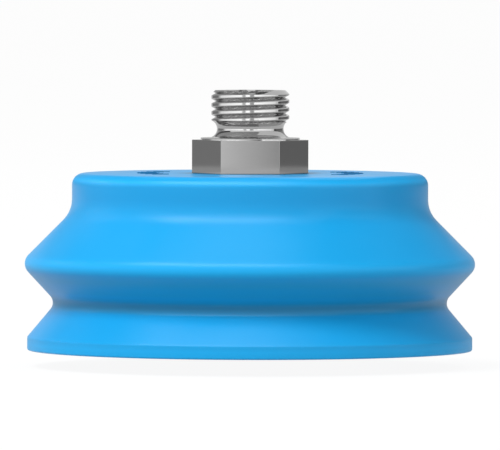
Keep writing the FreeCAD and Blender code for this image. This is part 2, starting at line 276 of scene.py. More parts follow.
class SharedEffects:
    """Shader node groups that several finishes use, each built once."""

    CLOUD_SCALE = 0.012
    BROAD_COURSE = 0.13
    PATCH_SCALE = 700.0
    SMUDGE_RANGE = 0.35, 0.7
    GRAIN_TONE = 0.35, 0.65
    MARK_HEIGHT = 0.7, 0.3
    MARK_TONE = 0.5, 0.3, 0.2

    def __init__(self) -> None:
        """Builds the groups."""
        self.moulded_grain = self._moulded_grain()
        self.tool_marks = self._tool_marks()
        self.handling = self._handling()

    @staticmethod
    def _new(name: str) -> Graph:
        """An empty shader group with its own graph."""
        return Graph(bpy.data.node_groups.new(name, "ShaderNodeTree"))

    @staticmethod
    def _place(graph: Graph) -> Field:
        """The place on the piece, in the shared frame."""
        return graph.field("ShaderNodeTexCoord", "Object")

    @staticmethod
    def _noise(graph: Graph, **inputs: FieldValue) -> Field:
        """Noise over a place, or along a course if that is given as W."""
        dimensions = "1D" if "W" in inputs else "3D"
        return graph.field("ShaderNodeTexNoise", 0, inputs, noise_dimensions=dimensions)

    @staticmethod
    def _weighed(shares: Sequence[float], *parts: Field) -> Field:
        """The sum of several fields, each taken by its share."""
        first, *others = [part * share for part, share in zip(parts, shares)]
        return sum(others, first)

    @staticmethod
    def _per(graph: Graph, size: Field) -> Field:
        """The scale of a texture whose features have a size."""
        return graph.field("ShaderNodeMath", 0, {0: 1.0, 1: size}, operation="DIVIDE")

    def _moulded_grain(self) -> bpy.types.NodeTree:
        """The fine spark-eroded grain that a mould leaves on soft plastic.

        Returns:
            The group, with a height for bump and a tone from 0 to 1.
        """
        graph = self._new("moulded_grain")
        size = graph.group_input("Grain size")
        place = self._place(graph)
        scale = self._per(graph, size)
        fine = self._noise(graph, Vector=place, Scale=scale, Detail=2.0, Roughness=0.55)
        cloud = self._noise(graph, Vector=place, Scale=scale * self.CLOUD_SCALE, Detail=3.0)
        graph.group_outputs({
            "Height": ("NodeSocketFloat", fine),
            "Tone": ("NodeSocketFloat", self._weighed(self.GRAIN_TONE, fine, cloud)),
        })
        return graph.tree

    def _tool_marks(self) -> bpy.types.NodeTree:
        """Fine parallel marks of a cutting tool, as rings or as drawn lines.

        Returns:
            The group, with a height for bump and a tone from 0 to 1.
        """
        graph = self._new("tool_marks")
        pitch = graph.group_input("Pitch")
        drawn = graph.group_input("Drawn")
        place = self._place(graph)
        across = graph.node("ShaderNodeSeparateXYZ", {0: place})
        east, north, height = (Field(graph, socket) for socket in across.outputs)
        reach = (east * east + north * north).math("SQRT")
        ring_course = (reach + height) / pitch
        bearing = north.math("ARCTAN2", east)
        drawn_course = bearing * reach / pitch
        course = ring_course + (drawn_course - ring_course) * drawn
        fine = self._noise(graph, W=course, Scale=1.0, Detail=2.0)
        broad = self._noise(graph, W=course * self.BROAD_COURSE, Scale=1.0, Detail=1.0)
        patch = self._noise(graph, Vector=place, Scale=self.PATCH_SCALE, Detail=2.0)
        graph.group_outputs({
            "Height": ("NodeSocketFloat", self._weighed(self.MARK_HEIGHT, fine, broad)),
            "Tone": ("NodeSocketFloat", self._weighed(self.MARK_TONE, fine, broad, patch)),
        })
        return graph.tree

    def _handling(self) -> bpy.types.NodeTree:
        """Faint smudges that handling leaves, which only change the gloss.

        Returns:
            The group, with a mask from 0 to 1.
        """
        graph = self._new("handling")
        size = graph.group_input("Smudge size")
        scale = self._per(graph, size)
        place = self._place(graph)
        cloud = self._noise(graph, Vector=place, Scale=scale, Detail=4.0, Distortion=0.6)
        low, high = self.SMUDGE_RANGE
        mask = graph.field(
            "ShaderNodeMapRange", 0, {"Value": cloud, "From Min": low, "From Max": high},
            interpolation_type="SMOOTHSTEP",
        )
        graph.group_outputs({"Mask": ("NodeSocketFloat", mask)})
        return graph.tree


class MaterialGraph(Graph):
    """A material under construction around one Principled shader."""

    COLOUR_MIX_INPUTS = 0, 6, 7
    COLOUR_MIX_OUTPUT = 2

    def __init__(self, name: str) -> None:
        """Starts a material with a bare Principled shader.

        Args:
            name: The material's name.
        """
        self.material = bpy.data.materials.new(name)
        self.material.use_nodes = True
        super().__init__(self.material.node_tree)
        self.shader = self.tree.nodes["Principled BSDF"]

    def effect(self, group: bpy.types.NodeTree, **values: float) -> bpy.types.Node:
        """Places a shared effect.

        Args:
            group: The effect's node group.
            **values: Its inputs, with underscores for spaces.

        Returns:
            The group node.
        """
        inputs = {name.replace("_", " "): value for name, value in values.items()}
        return self.node("ShaderNodeGroup", inputs, node_tree=group)

    def ramp(self, mask: bpy.types.NodeSocket, low: float, high: float) -> Field:
        """A number that runs from low to high as a mask goes from 0 to 1."""
        return self.field("ShaderNodeMapRange", 0, {"Value": mask, "To Min": low, "To Max": high})

    def tint(self, mask: bpy.types.NodeSocket, low: FieldValue, high: FieldValue) -> Field:
        """A colour that runs from low to high as a mask goes from 0 to 1.

        Args:
            mask: The mask.
            low: The colour where it is 0.
            high: The colour where it is 1.

        Returns:
            The mixed colour.
        """
        inputs = dict(zip(self.COLOUR_MIX_INPUTS, (mask, low, high)))
        return self.field("ShaderNodeMix", self.COLOUR_MIX_OUTPUT, inputs, data_type="RGBA")

    def relief(self, height: bpy.types.NodeSocket, distance: float, strength: float) -> None:
        """Bumps the shader's normal by a height.

        Args:
            height: The height, from 0 to 1.
            distance: How far 1 stands out.
            strength: Share of the bump that shows.
        """
        settings = {"Strength": strength, "Distance": distance, "Height": height}
        bump = self.node("ShaderNodeBump", settings)
        self.feed(self.shader.inputs["Normal"], bump.outputs["Normal"])


@dataclass(frozen=True)
class MouldedElastomer:
    """A satin soft plastic with a fine moulded grain, and painted shade, painted highlight and painted
    reflection and shade laid on it by masks.
    """

    name: str
    deep: Colour
    light: Colour
    # Painted shade colour, for the waist crease and round the hexagon's foot.
    hollow: Colour
    # Painted highlight colour, for the crest, the rim and the lip edge.
    painted_highlight_and_wear: Colour
    # Painted reflection and shade colour, greyer and darker, for the underside of the fold.
    painted_reflection_and_shade: Colour
    gloss_low: float
    gloss_high: float
    grain: float = 0.16 * MM
    relief: float = 0.006 * MM
    relief_strength: float = 0.35
    smudge: float = 14 * MM
    wear_haze: float = 0.05
    refraction: float = 1.41

    def material(self, effects: SharedEffects) -> bpy.types.Material:
        """Builds the material.

        Args:
            effects: The shared node groups.

        Returns:
            The finished material.
        """
        graph = MaterialGraph(self.name)
        grain = graph.effect(effects.moulded_grain, Grain_size=self.grain)
        smudges = graph.effect(effects.handling, Smudge_size=self.smudge)
        shader = graph.shader.inputs
        clean = graph.tint(grain.outputs["Tone"], self.deep, self.light)
        # The masks on the skin: painted shade, painted highlight, and painted reflection and shade.
        hollow, painted_highlight_and_wear, painted_reflection_and_shade = (
            graph.field("ShaderNodeAttribute", "Fac", attribute_name=name)
            for name in (PAINTED_SHADE, PAINTED_HIGHLIGHT_AND_WEAR, PAINTED_REFLECTION_AND_SHADE)
        )
        # Painted reflection and shade makes the underside of the fold greyer and darker.
        with_painted_reflection_and_shade = graph.tint(painted_reflection_and_shade.socket, clean, self.painted_reflection_and_shade)
        # Painted highlight lightens the colour along the crest, the rim and the lip edge.
        with_painted_highlight = graph.tint(painted_highlight_and_wear.socket, with_painted_reflection_and_shade, self.painted_highlight_and_wear)
        # Painted shade darkens the colour in the waist crease and round the hexagon's foot.
        graph.feed(shader["Base Color"], graph.tint(hollow.socket, with_painted_highlight, self.hollow))
        gloss = graph.ramp(smudges.outputs["Mask"], self.gloss_low, self.gloss_high)
        # The roughness is hazed a little where the highlight is painted.
        graph.feed(shader["Roughness"], gloss + painted_highlight_and_wear * self.wear_haze)
        shader["IOR"].default_value = self.refraction
        graph.relief(grain.outputs["Height"], self.relief, self.relief_strength)
        return graph.material


@dataclass(frozen=True)
class MachinedMetal:
    """A bare or plated metal with the fine marks of its cutting."""

    name: str
    dark: Colour
    bright: Colour
    gloss_low: float
    gloss_high: float
    path: ToolPath
    pitch: float
    relief: float
    relief_strength: float = 0.4
    smudge: float = 5 * MM

    def material(self, effects: SharedEffects) -> bpy.types.Material:
        """Builds the material.

        Args:
            effects: The shared node groups.

        Returns:
            The finished material.
        """
        graph = MaterialGraph(self.name)
        drawn = 1.0 if self.path is ToolPath.DRAWN else 0.0
        marks = graph.effect(effects.tool_marks, Pitch=self.pitch, Drawn=drawn)
        smudges = graph.effect(effects.handling, Smudge_size=self.smudge)
        shader = graph.shader.inputs
        shader["Metallic"].default_value = 1.0
        graph.feed(shader["Base Color"], graph.tint(marks.outputs["Tone"], self.dark, self.bright))
        mask = Field(graph, smudges.outputs["Mask"]) * 0.5 + Field(graph, marks.outputs["Tone"]) * 0.5
        graph.feed(shader["Roughness"], graph.ramp(mask.socket, self.gloss_low, self.gloss_high))
        graph.relief(marks.outputs["Height"], self.relief, self.relief_strength)
        return graph.material


def grey(level: float) -> Colour:
    """A neutral colour."""
    return (level, level, level, 1.0)


WHITE = grey(1.0)


class OneSided(Graph):
    """A bare material under construction, which shows on its front and is clear from the back."""

    def __init__(self, name: str) -> None:
        """Starts a material with no nodes.

        Args:
            name: The material's name.
        """
        self.material = bpy.data.materials.new(name)
        self.material.use_nodes = True
        super().__init__(self.material.node_tree)
        self.tree.nodes.clear()

    def mixed(self, share: FieldValue, first: Field, second: Field) -> Field:
        """A shader that runs from the first to the second as the share goes from 0 to 1."""
        return self.field("ShaderNodeMixShader", 0, {0: share, 1: first, 2: second})

    def finished(self, front: Field) -> bpy.types.Material:
        """Ends the material.

        Args:
            front: The shader of its front.

        Returns:
            The finished material.
        """
        clear = self.field("ShaderNodeBsdfTransparent")
        back = self.field("ShaderNodeNewGeometry", "Backfacing")
        self.node("ShaderNodeOutputMaterial", {"Surface": self.mixed(back, front, clear)})
        return self.material


class Palette:
    """The finished materials of the object."""

    def __init__(self) -> None:
        """Builds every material from the shared effects."""
        effects = SharedEffects()
        # Each elastomer's colours: two grain tones, then painted shade, painted highlight, and painted
        # reflection and shade.
        self.azure = MouldedElastomer(
            "azure_elastomer", (0.001, 0.371, 0.796, 1), (0.002, 0.398, 0.85, 1),
            (0.0055, 0.20, 0.40, 1), (0.003, 0.48, 1.0, 1), (0.012, 0.37, 0.72, 1), 0.29, 0.35,
        ).material(effects)
        self.marking = MouldedElastomer(
            "marking_blue", (0.0054, 0.18, 0.375, 1), (0.007, 0.205, 0.43, 1),
            (0.004, 0.12, 0.25, 1), (0.012, 0.24, 0.45, 1), (0.012, 0.20, 0.36, 1), 0.45, 0.52,
        ).material(effects)
        self.polished = MachinedMetal(
            "polished_thread", grey(0.50), grey(0.57), 0.08, 0.14,
            ToolPath.TURNED, 0.05 * MM, 0.001 * MM,
        ).material(effects)
        self.satin = MachinedMetal(
            "satin_hexagon", grey(0.50), grey(0.57), 0.28, 0.36,
            ToolPath.DRAWN, 0.05 * MM, 0.002 * MM,
        ).material(effects)
        self.zinc = MachinedMetal(
            "zinc_plated_steel", (0.55, 0.56, 0.58, 1), (0.68, 0.69, 0.71, 1), 0.24, 0.36,
            ToolPath.TURNED, 0.12 * MM, 0.003 * MM,
        ).material(effects)
        self.spring = MachinedMetal(
            "oiled_spring_steel", (0.20, 0.20, 0.22, 1), (0.32, 0.32, 0.34, 1), 0.24, 0.36,
            ToolPath.TURNED, 0.10 * MM, 0.003 * MM,
        ).material(effects)
        self.wire = MachinedMetal(
            "bright_sieve_wire", grey(0.62), grey(0.74), 0.16, 0.26,
            ToolPath.TURNED, 0.04 * MM, 0.001 * MM,
        ).material(effects)


@dataclass(frozen=True)
class Corner:
    """A corner of a turned outline, and the radius that rounds it off."""

    radius: float
    height: float
    rounding: float = 0.0


@dataclass
class Outline:
    """A closed outline of straight runs and rounded corners, to be turned about the axis."""

    corners: Sequence[Corner]
    run_step: float = 0.9 * MM
    turn_step: float = math.radians(9)

    def points(self) -> list[Vector]:
        """Samples the outline.

        Returns:
            Points of radius and height, with runs divided and corners rounded.
        """
        places = [Vector((corner.radius, corner.height)) for corner in self.corners]
        bends: list[Vector] = []
        for i, corner in enumerate(self.corners):
            after = places[(i + 1) % len(places)]
            bends += self._bend(places[i - 1], places[i], after, corner.rounding)
        sampled: list[Vector] = []
        for start, end in zip(bends, bends[1:] + bends[:1]):
            steps = max(1, math.ceil((end - start).length / self.run_step))
            sampled += [start.lerp(end, step / steps) for step in range(steps)]
        return sampled

    def _bend(self, before: Vector, at: Vector, after: Vector, rounding: float) -> list[Vector]:
        """Points of one corner.

        Args:
            before: The corner before it.
            at: The sharp corner.
            after: The corner after it.
            rounding: Radius of its rounding, or 0.

        Returns:
            The corner itself, or points along its arc.
        """
        if not rounding:
            return [at]
        back = (before - at).normalized()
        ahead = (after - at).normalized()
        half = back.angle(ahead) / 2
        centre = at + (back + ahead).normalized() * (rounding / math.sin(half))
        arm = at + back * (rounding / math.tan(half)) - centre
        sweep = math.copysign(math.pi - 2 * half, ahead.cross(back))
        steps = max(2, math.ceil(abs(sweep) / self.turn_step))
        turns = [Matrix.Rotation(sweep * step / steps, 2) for step in range(steps + 1)]
        return [centre + turn @ arm for turn in turns]


def cut_at(points: Sequence[Vector], level: float, keep_above: bool) -> list[Vector]:
    """Cuts a closed outline at a level and keeps one side.

    Args:
        points: The outline.
        level: Height of the cut.
        keep_above: Whether the upper side is kept.

    Returns:
        The outline of the kept side.
    """
    side = 1 if keep_above else -1
    kept: list[Vector] = []
    for start, end in zip(points, [*points[1:], points[0]]):
        over_start = side * (start.y - level)
        over_end = side * (end.y - level)
        if over_start >= 0:
            kept.append(start)
        if over_start * over_end < 0:
            kept.append(start.lerp(end, over_start / (over_start - over_end)))
    return kept


def boxed(
    inside: float, outside: float, bottom: float, top: float, *roundings: float
) -> list[Corner]:
    """Corners of a rectangular section, from the lower inner one round by the outside.

    Args:
        inside: Radius of its inner side.
        outside: Radius of its outer side.
        bottom: Level of its lower side.
        top: Level of its upper side.
        *roundings: The rounding of each corner, or one for all four.

    Returns:
        The four corners.
    """
    places = (inside, bottom), (outside, bottom), (outside, top), (inside, top)
    each = roundings if len(roundings) > 1 else roundings * len(places)
    return [Corner(*place, rounding) for place, rounding in zip(places, each)]


def smooth_step(share: float) -> float:
    """A share, held at 0 or above and eased at both ends."""
    held = max(0.0, share)
    return held * held * (3 - 2 * held)


def ring_at(radius: float, height: float, columns: int = COLUMNS) -> Ring:
    """A level ring of evenly spaced points about the axis, the first on +X."""
    angles = [FULL_TURN * column / columns for column in range(columns)]
    return [Vector((radius * math.cos(a), radius * math.sin(a), height)) for a in angles]


def hexagon_ring(flat: float, height: float, corner_break: float, columns: int = COLUMNS) -> Ring:
    """A level hexagon with broken corners, two of them on X.

    Args:
        flat: Half the width over the flats.
        height: Its level.
        corner_break: How far each corner's break reaches along the flats.
        columns: Number of points.

    Returns:
        The points, the first in the middle of the break on +X.
    """
    corners = ring_at(flat / math.cos(math.pi / HEX_SIDES), height, HEX_SIDES)
    per_side = columns // HEX_SIDES
    ring: Ring = []
    for side, corner in enumerate(corners):
        ahead = corners[(side + 1) % HEX_SIDES] - corner
        behind = (corners[side - 1] - corner).normalized()
        first = corner + ahead.normalized() * corner_break
        last = corner + ahead - ahead.normalized() * corner_break
        ring.append((first + corner + behind * corner_break) / 2)
        ring += [first.lerp(last, step / (per_side - 2)) for step in range(per_side - 1)]
    return ring


def shaded(mesh: bpy.types.Mesh) -> bpy.types.Mesh:
    """Welds a mesh, turns its faces outwards and shades it smooth between sharp edges.

    Args:
        mesh: The mesh, changed in place.

    Returns:
        The same mesh.
    """
    work = bmesh.new()
    work.from_mesh(mesh)
    bmesh.ops.remove_doubles(work, verts=work.verts, dist=WELD_DISTANCE)
    bmesh.ops.recalc_face_normals(work, faces=work.faces)
    work.to_mesh(mesh)
    work.free()
    mesh.shade_smooth()
    mesh.set_sharp_from_angle(angle=SHARP_ANGLE)
    return mesh


def lofted(
    name: str, rings: Sequence[Ring], closed: bool = True, material_of: Sequence[int] = ()
) -> bpy.types.Mesh:
    """Joins rings of equal count into a skin.

    Args:
        name: Name of the mesh.
        rings: The rings, in order along the skin.
        closed: Whether the last ring joins the first.
        material_of: Material of each strip between two rings.

    Returns:
        The skin, not yet welded.
    """
    count = len(rings[0])
    strips = len(rings) if closed else len(rings) - 1
    faces = []
    materials = []
    for strip in range(strips):
        here = strip * count
        there = (strip + 1) % len(rings) * count
        for i in range(count):
            j = (i + 1) % count
            faces.append((here + i, here + j, there + j, there + i))
            materials.append(material_of[strip] if material_of else 0)
    mesh = bpy.data.meshes.new(name)
    mesh.from_pydata([point for ring in rings for point in ring], [], faces)
    mesh.polygons.foreach_set("material_index", materials)
    return mesh


def turned(name: str, outline: Sequence[Vector]) -> bpy.types.Mesh:
    """Turns a closed outline of radius and height about the axis into a finished mesh."""
    return shaded(lofted(name, [ring_at(point.x, point.y) for point in outline]))


def swept_ring(
    name: str, section: Sequence[Vector], start: float, end: float, slant: float
) -> bpy.types.Mesh:
    """Sweeps a section about the axis over part of a turn and closes both ends.

    Args:
        name: Name of the mesh.
        section: Closed outline of radius and height.
        start: Angle where the ring starts.
        end: Angle where it ends.
        slant: Lean of the end faces, in radians for each metre of height.

    Returns:
        The finished mesh.
    """
    middle = sum(point.y for point in section) / len(section)
    rings = []
    for step in range(COLUMNS + 1):
        angle = start + (end - start) * step / COLUMNS
        turns = [angle + slant * (point.y - middle) for point in section]
        rings.append([
            Vector((point.x * math.cos(turn), point.x * math.sin(turn), point.y))
            for point, turn in zip(section, turns)
        ])
    mesh = lofted(name, rings, closed=False)
    work = bmesh.new()
    work.from_mesh(mesh)
    bmesh.ops.holes_fill(work, edges=[edge for edge in work.edges if edge.is_boundary])
    work.to_mesh(mesh)
    work.free()
    return shaded(mesh)


def joined(name: str, meshes: Iterable[bpy.types.Mesh]) -> bpy.types.Mesh:
    """Puts several meshes into one, and removes them.

    Args:
        name: Name of the new mesh.
        meshes: The meshes to join.

    Returns:
        The joined mesh, not yet welded.
    """
    work = bmesh.new()
    for mesh in meshes:
        work.from_mesh(mesh)
        bpy.data.meshes.remove(mesh)
    made = bpy.data.meshes.new(name)
    work.to_mesh(made)
    work.free()
    return made


def new_piece(name: str, mesh: bpy.types.Mesh, *materials: bpy.types.Material) -> bpy.types.Object:
    """Links a finished mesh to the scene as a piece.

    Args:
        name: The piece's name.
        mesh: Its mesh, in place.
        *materials: Its materials, in the order of the mesh's indices.

    Returns:
        The piece, at the origin.
    """
    mesh.materials.clear()
    for material in materials:
        mesh.materials.append(material)
    piece = bpy.data.objects.new(name, mesh)
    bpy.context.scene.collection.objects.link(piece)
    return piece


def stand_in(piece: bpy.types.Object, slot: Slot, *nodes: str) -> bpy.types.Object:
    """Hides the nodes that a piece stands for, and reports the piece and those nodes.

    Args:
        piece: The piece.
        slot: The record's material slot; not used.
        *nodes: The nodes that it replaces.

    Returns:
        The same piece.
    """
    if nodes:
        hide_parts(*nodes)
    stood_for = ", ".join(nodes) or "detail"
    LOG.info("%s: %d faces, for %s", piece.name, len(piece.data.polygons), stood_for)
    return piece


def fix_to_head(piece: bpy.types.Object, slot: Slot, *nodes: str) -> None:
    """Lets a piece ride on the head, and hides and reports the nodes that it stands for."""
    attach(piece, Body.HEAD.value)
    stand_in(piece, slot, *nodes)


class GeometryRecipe(Graph):
    """A Geometry Nodes tree with named inputs, which makes a plain mesh."""

    def __init__(self, name: str) -> None:
        """Starts an empty tree.

        Args:
            name: The tree's name.
        """
        super().__init__(bpy.data.node_groups.new(name, "GeometryNodeTree"))
        self._values: dict[str, Any] = {}
        self.group_input("Geometry", "NodeSocketGeometry")

    def size(self, name: str, value: float) -> Field:
        """A named input that holds a length, an angle or a share."""
        self._values[name] = value
        return self.group_input(name)

    def count(self, name: str, value: int) -> Field:
        """A named input that holds a whole number."""
        self._values[name] = value
        return self.group_input(name, "NodeSocketInt")

    def welded(self, geometry: FieldValue) -> Field:
        """A mesh with its doubled points merged."""
        inputs = {"Geometry": geometry, "Distance": WELD_DISTANCE}
        return self.field("GeometryNodeMergeByDistance", 0, inputs)

    def place(self, **parts: FieldValue) -> Field:
        """A vector put together from its X, Y and Z."""
        return self.field("ShaderNodeCombineXYZ", 0, parts)

    def polar(self, bearing: Field, radius: Field, height: Field) -> Field:
        """A place at a bearing and a radius about the axis, and at a height."""
        east, north = bearing.math("COSINE") * radius, bearing.math("SINE") * radius
        return self.place(X=east, Y=north, Z=height)

    def moved(self, geometry: FieldValue, place: Field) -> Field:
        """A geometry with its points set to a place."""
        inputs = {"Geometry": geometry, "Position": place}
        return self.field("GeometryNodeSetPosition", 0, inputs)

    def spot(self) -> list[Field]:
        """The X, Y and Z of the point at hand."""
        parts = self.node("ShaderNodeSeparateXYZ", {0: self.field("GeometryNodeInputPosition")})
        return [Field(self, socket) for socket in parts.outputs]

    def mesh(self, name: str, result: Field, material: bpy.types.Material) -> bpy.types.Mesh:
        """Ends the tree and runs it.

        Args:
            name: Name of the mesh.
            result: The geometry that the tree makes.
            material: Its material.

        Returns:
            The result as a plain mesh.
        """
        self._values["Material"] = material
        chosen = self.group_input("Material", "NodeSocketMaterial")
        real = self.field("GeometryNodeRealizeInstances", 0, {"Geometry": result})
        dressed = self.field("GeometryNodeSetMaterial", 0, {"Geometry": real, "Material": chosen})
        self.group_outputs({"Geometry": ("NodeSocketGeometry", dressed)})
        host = bpy.data.objects.new(name, bpy.data.meshes.new(name))
        bpy.context.scene.collection.objects.link(host)
        modifier = host.modifiers.new(name, "NODES")
        modifier.node_group = self.tree
        for item in self.tree.interface.items_tree:
            if item.in_out == "INPUT" and item.name in self._values:
                modifier[item.identifier] = self._values[item.name]
        evaluated = host.evaluated_get(bpy.context.evaluated_depsgraph_get())
        made = bpy.data.meshes.new_from_object(evaluated)
        host.modifiers.remove(modifier)
        bpy.data.objects.remove(host)
        made.name = name
        return made


@dataclass
class SoftCup:
    """The soft moulding, turned from one outline and divided where its sections move."""

    rim_radius: float = from_frame(radius_of, "cup_head")
    cup_top: float = from_frame(top_of, "cup_head")
    roof: float = from_frame(bottom_of, "cup_head")
    fold_start: float = from_frame(bottom_of, "upper_wall")
    fold_end: float = from_frame(bottom_of, "fold_waist")
    lip_top: float = from_frame(top_of, "sealing_lip")
    lip_bottom: float = from_frame(bottom_of, "sealing_lip")
    lip_radius: float = from_frame(radius_of, "sealing_lip")
    plate_top: float = from_frame(top_of, "support_plate")
    plate_radius: float = from_frame(radius_of, "support_plate")
    stroke: float = 10 * MM
    shank_hole: float = 6.1 * MM
    plate_clearance: float = 0.15 * MM
    roof_edge: float = 24.5 * MM
    rim_height: float = 6.42 * MM
    rim_round: float = 2.0 * MM
    shoulder_round: float = 4.9 * MM
    crest_radius: float = 38.72 * MM
    crest_height: float = 14.6 * MM
    crest_round: float = 2.05 * MM
    waist_radius: float = 32.62 * MM
    waist_height: float = 8.03 * MM
    waist_round: float = 1.75 * MM
    lip_edge: float = 2.2 * MM
    lip_edge_round: float = 0.5 * MM
    lip_foot_round: float = 0.3 * MM
    lip_land: float = 1.2 * MM
    fold_wall: float = 3.3 * MM
    roof_inner_round: float = 2.0 * MM
    crest_inner_round: float = 1.4 * MM
    waist_inner_round: float = 1.5 * MM
    # Reach and lift of the painted shade in the waist crease.
    painted_shade_reach: float = 2.0 * MM
    painted_shade_lift: float = 0.2 * MM
    # Reaches and places of the painted highlight on the crest, the rim and the lip edge.
    painted_highlight_reach: float = 1.8 * MM
    rim_painted_highlight_reach: float = 0.85 * MM
    rim_painted_highlight_drop: float = 0.9 * MM
    lip_painted_highlight_offset: float = 0.45 * MM
    lip_painted_highlight_level: float = 0.88 * MM
    # Reach and rings of the painted reflection and shade under the fold.
    painted_reflection_and_shade_reach: float = 2.4 * MM
    painted_reflection_and_shade_shares: tuple[float, ...] = (0.4, 0.65, 0.9)
    # Ring of painted shade round the hexagon's foot.
    hexagon_reach: float = 9.0 * MM
    seat_painted_shade_reach: float = 3.8 * MM
    mark_radius: float = 17.5 * MM
    mark_length: float = 3.2 * MM
    mark_width: float = 0.55 * MM
    mark_height: float = 0.1 * MM
    mark_depth: float = 0.05 * MM
    mark_count: int = 9
    mark_spread: float = math.radians(62)
    mark_corner: float = 0.45
    mark_corner_steps: int = 4

    def outline(self) -> list[Vector]:
        """Draws the whole moulding's outline, from the shank hole round the outside and back.

        Returns:
            Its points of radius and height.
        """
        seat = self.plate_radius + self.plate_clearance
        outside = [
            Corner(self.shank_hole, self.cup_top),
            Corner(self.rim_radius, self.cup_top, self.rim_round),
            Corner(self.rim_radius, self.cup_top - self.rim_height, self.shoulder_round),
            Corner(self.crest_radius, self.crest_height, self.crest_round),
            Corner(self.waist_radius, self.waist_height, self.waist_round),
            Corner(self.lip_radius, self.lip_edge, self.lip_edge_round),
            Corner(self.lip_radius, self.lip_bottom, self.lip_foot_round),
        ]
        inside = [
            Corner(self.lip_radius - self.lip_land, self.lip_bottom),
            Corner(self.waist_radius - self.fold_wall, self.waist_height, self.waist_inner_round),
            Corner(self.crest_radius - self.fold_wall, self.crest_height, self.crest_inner_round),
            Corner(self.roof_edge, self.roof, self.roof_inner_round),
            Corner(seat, self.roof),
            Corner(seat, self.plate_top),
            Corner(self.shank_hole, self.plate_top),
        ]
        return Outline(outside + inside).points()

    def section(
        self, name: str, low: float, high: float, material: bpy.types.Material
    ) -> bpy.types.Object:
        """One section of the moulding.

        Args:
            name: The piece's name.
            low: Level of its lower end.
            high: Level of its upper end.
            material: Its material.

        Returns:
            The piece.
        """
        points = cut_at(cut_at(self.outline(), low, True), high, False)
        mesh = turned(name, points)
        # Painted shade in the waist crease.
        waist = (self.waist_radius, self.waist_height + self.painted_shade_lift, self.painted_shade_reach)
        # Painted shade round the hexagon's foot, where it stands on the top.
        seat = (self.hexagon_reach, self.cup_top, self.seat_painted_shade_reach)
        # Painted highlight along the crest, the rim and the lip edge.
        crest = (self.crest_radius - self.crest_round / 2, self.crest_height, self.painted_highlight_reach)
        rim = (self.rim_radius, self.cup_top - self.rim_painted_highlight_drop, self.rim_painted_highlight_reach)
        edge = (self.lip_radius + self.lip_painted_highlight_offset, self.lip_painted_highlight_level, self.painted_highlight_reach)
        self.mask(mesh, PAINTED_SHADE, waist, seat)
        self.mask(mesh, PAINTED_HIGHLIGHT_AND_WEAR, crest, rim, edge)
        # Painted reflection and shade on the underside of the fold.
        self.mask(mesh, PAINTED_REFLECTION_AND_SHADE, *self.under_fold())
        return new_piece(name, mesh, material)

    def under_fold(self) -> Iterator[tuple[float, float, float]]:
        """Yields rings down the lower flank of the fold, for the mask of painted reflection and shade.
        """
        for share in self.painted_reflection_and_shade_shares:
            radius = self.crest_radius + (self.waist_radius - self.crest_radius) * share
            height = self.crest_height + (self.waist_height - self.crest_height) * share
            yield radius, height, self.painted_reflection_and_shade_reach

    @staticmethod
    def mask(mesh: bpy.types.Mesh, name: str, *rings: tuple[float, float, float]) -> None:
        """Masks the points of a skin that lie near rings on it.

        Args:
            mesh: The skin, which gets the mask, from 0 to 1, as an attribute.
            name: Name of the mask.
            *rings: Radius and height of each ring, and the distance at which its mask fades to 0.
        """
        layer = mesh.attributes.new(name, "FLOAT", "POINT")
        for vertex, value in zip(mesh.vertices, layer.data):
            radius = math.hypot(vertex.co.x, vertex.co.y)
            height = vertex.co.z
            near = max(1 - math.hypot(radius - r, height - z) / reach for r, z, reach in rings)
            value.value = smooth_step(near)

    def build(self, palette: Palette) -> None:
        """Makes the five skins and the marks; the head skin, the marks, the fold and the lip ride on
        their bodies, while the shoulder and the flare stay fixed where they are.

        Args:
            palette: The finished materials.
        """
        azure = palette.azure
        head = self.section("head_skin", self.roof, self.cup_top, azure)
        fix_to_head(head, Slot.ELASTOMER, "cup_head")

        shoulder = self.section("shoulder_skin", self.fold_start, self.roof, azure)
        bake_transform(shoulder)
        stand_in(shoulder, Slot.ELASTOMER, "upper_wall")

        fold = self.section("fold_skin", self.fold_end, self.fold_start, azure)
        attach(fold, Body.UPPER_FOLD.value)
        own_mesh(fold)
        stand_in(fold, Slot.ELASTOMER, "fold_upper_wall", "fold_crest", "fold_lower_wall", "fold_waist")

        flare = self.section("flare_skin", self.lip_top, self.fold_end, azure)
        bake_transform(flare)
        stand_in(flare, Slot.ELASTOMER, "lip_wall")

        lip = self.section("lip_skin", self.lip_bottom, self.lip_top, azure)
        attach(lip, Body.LIP.value)
        stand_in(lip, Slot.ELASTOMER, "sealing_lip")

        marks = new_piece("top_marks", self.marks(palette.marking), palette.marking)
        fix_to_head(marks, Slot.ELASTOMER)

    def marks(self, material: bpy.types.Material) -> bpy.types.Mesh:
        """Two arcs of plain raised dashes on the flat top, left and right of the nipple.

        Args:
            material: Material of the dashes.

        Returns:
            The dashes as one mesh.
        """
        recipe = GeometryRecipe("top_marks")
        radius = recipe.size("Arc radius", self.mark_radius)
        length = recipe.size("Dash length", self.mark_length)
        width = recipe.size("Dash width", self.mark_width)
        foot = recipe.size("Foot level", self.cup_top - self.mark_depth)
        rise = recipe.size("Rise", self.mark_height + self.mark_depth)
        spread = recipe.size("Arc spread", self.mark_spread)
        per_arc = recipe.count("Dashes per arc", self.mark_count)

